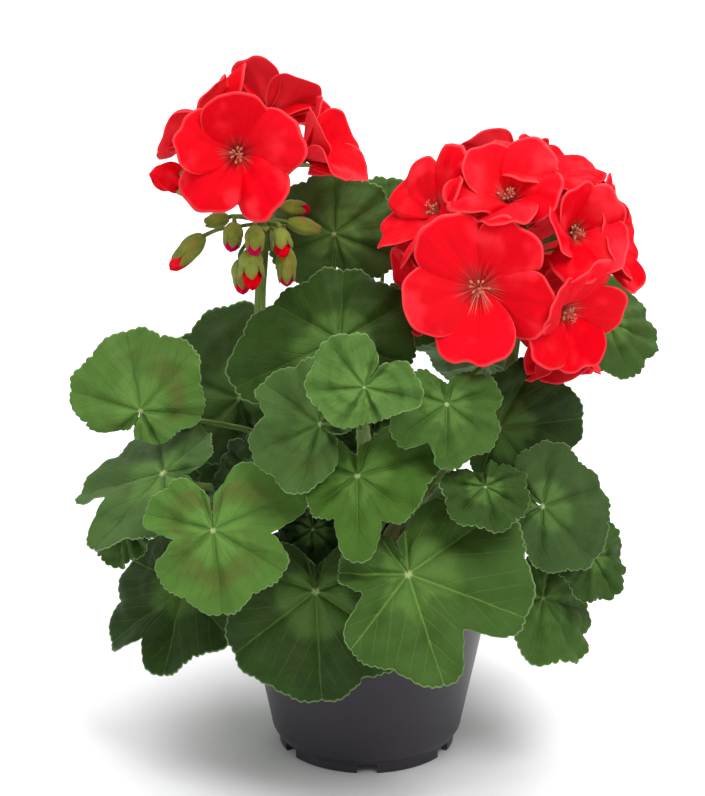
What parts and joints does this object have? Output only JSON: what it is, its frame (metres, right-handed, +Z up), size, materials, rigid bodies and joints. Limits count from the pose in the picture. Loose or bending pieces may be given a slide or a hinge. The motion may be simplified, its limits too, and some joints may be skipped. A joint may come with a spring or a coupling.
{
  "type": "potted geranium",
  "caption": "Zonal geranium with scalloped round leaves and two stalked heads of red flowers, one partly in bud, growing in a round tapered dark plastic nursery pot.",
  "frame": {"origin": "middle of the flat pad under the pot's floor, on the ground plane", "axes": "+Z up through the middle of the pot, -Y towards the front, where the taller flower head is on the left and the fuller one on the right, +X to the right"},
  "size_m": [0.263, 0.2324, 0.3166],
  "materials": {
    "pot_plastic": "satin, smooth",
    "potting_mix": "rough, crumbly",
    "stem": "dull, finely hairy",
    "flower_stalk": "dull, finely hairy",
    "leaf": "soft, finely hairy, slightly glossy",
    "petal": "silky",
    "bud": "dull, finely hairy"
  },
  "bodies": {
    "root": {"pot": "pot_plastic", "potting_mix": "potting_mix", "stems": "stem", "bud_front": "bud", "bud_half_open": "bud", "bud_long_left": "bud", "flower_left_back": "petal", "flower_left_front": "petal", "flower_left_side": "petal", "flower_left_top": "petal", "flower_right_back": "petal", "flower_right_back_left": "petal", "flower_right_back_low": "petal", "flower_right_back_right": "petal", "flower_right_back_top": "petal", "flower_right_front": "petal", "flower_right_front_right": "petal", "flower_right_left": "petal", "flower_right_low": "petal", "flower_right_low_left": "petal", "flower_right_side": "petal", "flower_right_top": "petal", "flower_right_top_front": "petal", "flower_right_upper": "petal", "flower_stalk_left": "flower_stalk", "flower_stalk_right": "flower_stalk", "leaf_back_left": "leaf", "leaf_centre": "leaf", "leaf_centre_left": "leaf", "leaf_far_back": "leaf", "leaf_fill_back": "leaf", "leaf_fill_left": "leaf", "leaf_fill_low": "leaf", "leaf_fill_right": "leaf", "leaf_front_big": "leaf", "leaf_front_left": "leaf", "leaf_low_centre": "leaf", "leaf_low_left": "leaf", "leaf_low_right": "leaf", "leaf_mid_left": "leaf", "leaf_mid_right": "leaf", "leaf_rear": "leaf", "leaf_rear_left": "leaf", "leaf_rear_low": "leaf", "leaf_rear_right": "leaf", "leaf_rear_top": "leaf", "leaf_right": "leaf", "leaf_shade_centre": "leaf", "leaf_shade_left": "leaf", "leaf_shade_right": "leaf", "leaf_side_left": "leaf", "leaf_side_right": "leaf", "leaf_small_left": "leaf", "leaf_top_centre": "leaf", "leaf_up_left": "leaf", "leaf_upper_back": "leaf", "leaf_upper_right": "leaf", "leaf_young_back": "leaf", "leaf_young_centre": "leaf", "leaf_young_right": "leaf"}
  },
  "joints": []
}
